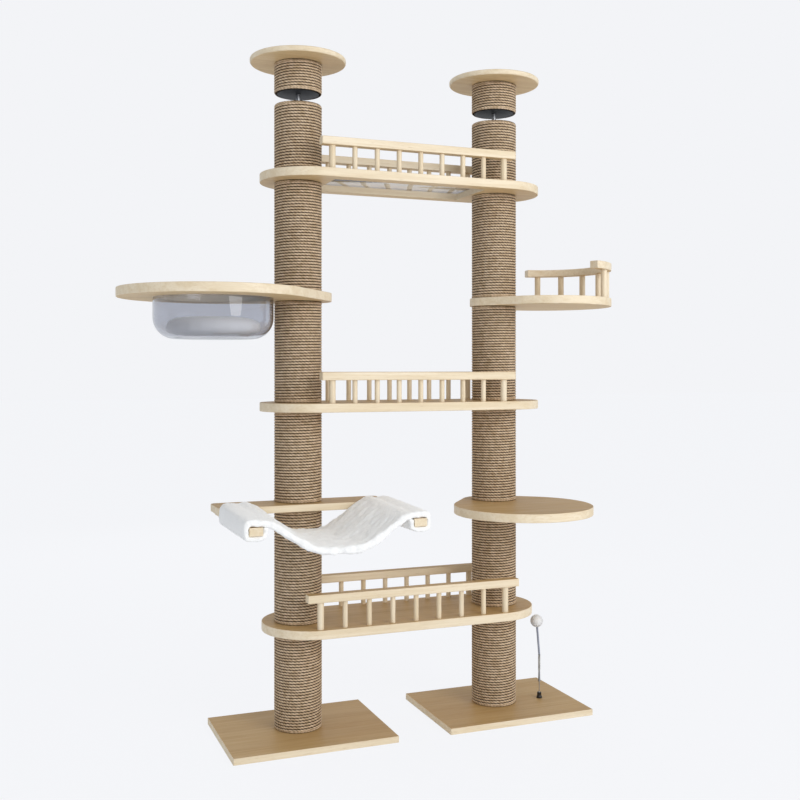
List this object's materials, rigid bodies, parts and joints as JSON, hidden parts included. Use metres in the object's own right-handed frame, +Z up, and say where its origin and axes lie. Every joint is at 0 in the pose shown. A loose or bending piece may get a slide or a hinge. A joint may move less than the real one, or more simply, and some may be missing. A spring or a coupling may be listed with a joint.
{
  "type": "cat tree",
  "caption": "Floor-to-ceiling cat tree of rope-wound posts joined by railed bridges, with a sling hammock, clear bowl, side shelves and a spring toy.",
  "frame": {"origin": "axis of the left post on the floor", "axes": "+X from the left post to the right post, +Z up to the ceiling, -Y towards the hammock's open side"},
  "size_m": [1.8737, 0.7327, 2.404],
  "materials": {
    "light_wood": "satin, clear lacquer",
    "tube_board": "plain wound board",
    "sisal_rope": "twisted natural fibre",
    "black_steel": "satin powder coat",
    "zinc_steel": "zinc plated",
    "foot_pad": "matte",
    "clear_acrylic": "clear, polished",
    "white_plush": "short soft pile",
    "grey_plush": "short soft pile",
    "black_plastic": "matte",
    "clear_bead": "clear, glossy",
    "blue_grey_plastic": "matte"
  },
  "bodies": {
    "frame": {"base_left": "light_wood", "base_right": "light_wood", "post_tubes_left": "tube_board", "post_tubes_right": "tube_board", "end_plugs": "light_wood", "joining_studs": "zinc_steel", "rope_left_1": "sisal_rope", "rope_left_2": "sisal_rope", "rope_left_3": "sisal_rope", "rope_left_4": "sisal_rope", "rope_left_5": "sisal_rope", "rope_left_6": "sisal_rope", "rope_right_1": "sisal_rope", "rope_right_2": "sisal_rope", "rope_right_3": "sisal_rope", "rope_right_4": "sisal_rope", "rope_right_5": "sisal_rope", "rope_right_6": "sisal_rope", "bridge_low_board": "light_wood", "bridge_low_rails": "light_wood", "bridge_low_dowels": "light_wood", "bridge_mid_board": "light_wood", "bridge_mid_rails": "light_wood", "bridge_mid_dowels": "light_wood", "bridge_top_board": "light_wood", "bridge_top_rails": "light_wood", "bridge_top_dowels": "light_wood", "floor_panel": "clear_acrylic", "post_caps": "black_steel", "adjusting_nuts": "zinc_steel", "toy_foot": "black_plastic"},
    "head_left": {"adjuster_rod_left": "zinc_steel", "head_plate_left": "black_steel", "collar_tube_left": "tube_board", "collar_rope_left": "sisal_rope", "ceiling_disc_left": "light_wood", "ceiling_pad_left": "foot_pad"},
    "head_right": {"adjuster_rod_right": "zinc_steel", "head_plate_right": "black_steel", "collar_tube_right": "tube_board", "collar_rope_right": "sisal_rope", "ceiling_disc_right": "light_wood", "ceiling_pad_right": "foot_pad"},
    "hammock": {"hammock_board": "light_wood", "hammock_arms": "light_wood", "hammock_screws": "zinc_steel"},
    "sling": {"hammock_sling": "white_plush"},
    "bowl_shelf": {"bowl_shelf": "light_wood"},
    "bowl": {"bowl": "clear_acrylic"},
    "cushion": {"bowl_cushion": "grey_plush"},
    "round_shelf": {"round_shelf": "light_wood"},
    "rail_shelf": {"rail_shelf": "light_wood", "shelf_rail": "light_wood", "shelf_balusters": "light_wood"},
    "toy_stem": {"toy_wire": "zinc_steel", "toy_spring": "clear_bead"},
    "toy_tip": {"toy_tube": "blue_grey_plastic", "toy_ball": "grey_plush"}
  },
  "joints": [
    {"name": "left_head_height", "type": "slide", "parent": "frame", "child": "head_left", "axis": [0, 0, 1], "range_m": [-0.02, 0.06]},
    {"name": "right_head_height", "type": "slide", "parent": "frame", "child": "head_right", "axis": [0, 0, 1], "range_m": [-0.02, 0.06]},
    {"name": "hammock_swivel", "type": "hinge", "parent": "frame", "child": "hammock", "pos_m": [0, 0, 0.801], "axis": [0, 0, 1], "range_deg": [-15, 15]},
    {"name": "sling_pull", "type": "slide", "parent": "hammock", "child": "sling", "axis": [0, -1, 0], "range_m": [0, 0.4]},
    {"name": "bowl_shelf_swivel", "type": "hinge", "parent": "frame", "child": "bowl_shelf", "pos_m": [0, 0, 1.536], "axis": [0, 0, 1], "range_deg": [-15, 15]},
    {"name": "bowl_lift", "type": "slide", "parent": "bowl_shelf", "child": "bowl", "axis": [0, 0, 1], "range_m": [0, 0.25]},
    {"name": "cushion_lift", "type": "slide", "parent": "bowl", "child": "cushion", "axis": [0, 0, 1], "range_m": [0, 0.2]},
    {"name": "round_shelf_swivel", "type": "hinge", "parent": "frame", "child": "round_shelf", "pos_m": [0.779, 0, 0.765], "axis": [0, 0, 1], "range_deg": [-15, 15]},
    {"name": "rail_shelf_swivel", "type": "hinge", "parent": "frame", "child": "rail_shelf", "pos_m": [0.779, 0, 1.535], "axis": [0, 0, 1], "range_deg": [-15, 15]},
    {"name": "toy_sway", "type": "hinge", "parent": "frame", "child": "toy_stem", "pos_m": [0.957, -0.036, 0.044], "axis": [1, 0, 0], "range_deg": [-30, 30], "stiffness_Nm_per_rad": 0.4},
    {"name": "toy_tip_sway", "type": "hinge", "parent": "toy_stem", "child": "toy_tip", "pos_m": [0.957, -0.036, 0.192], "axis": [0, 1, 0], "range_deg": [-20, 20], "stiffness_Nm_per_rad": 0.2}
  ]
}
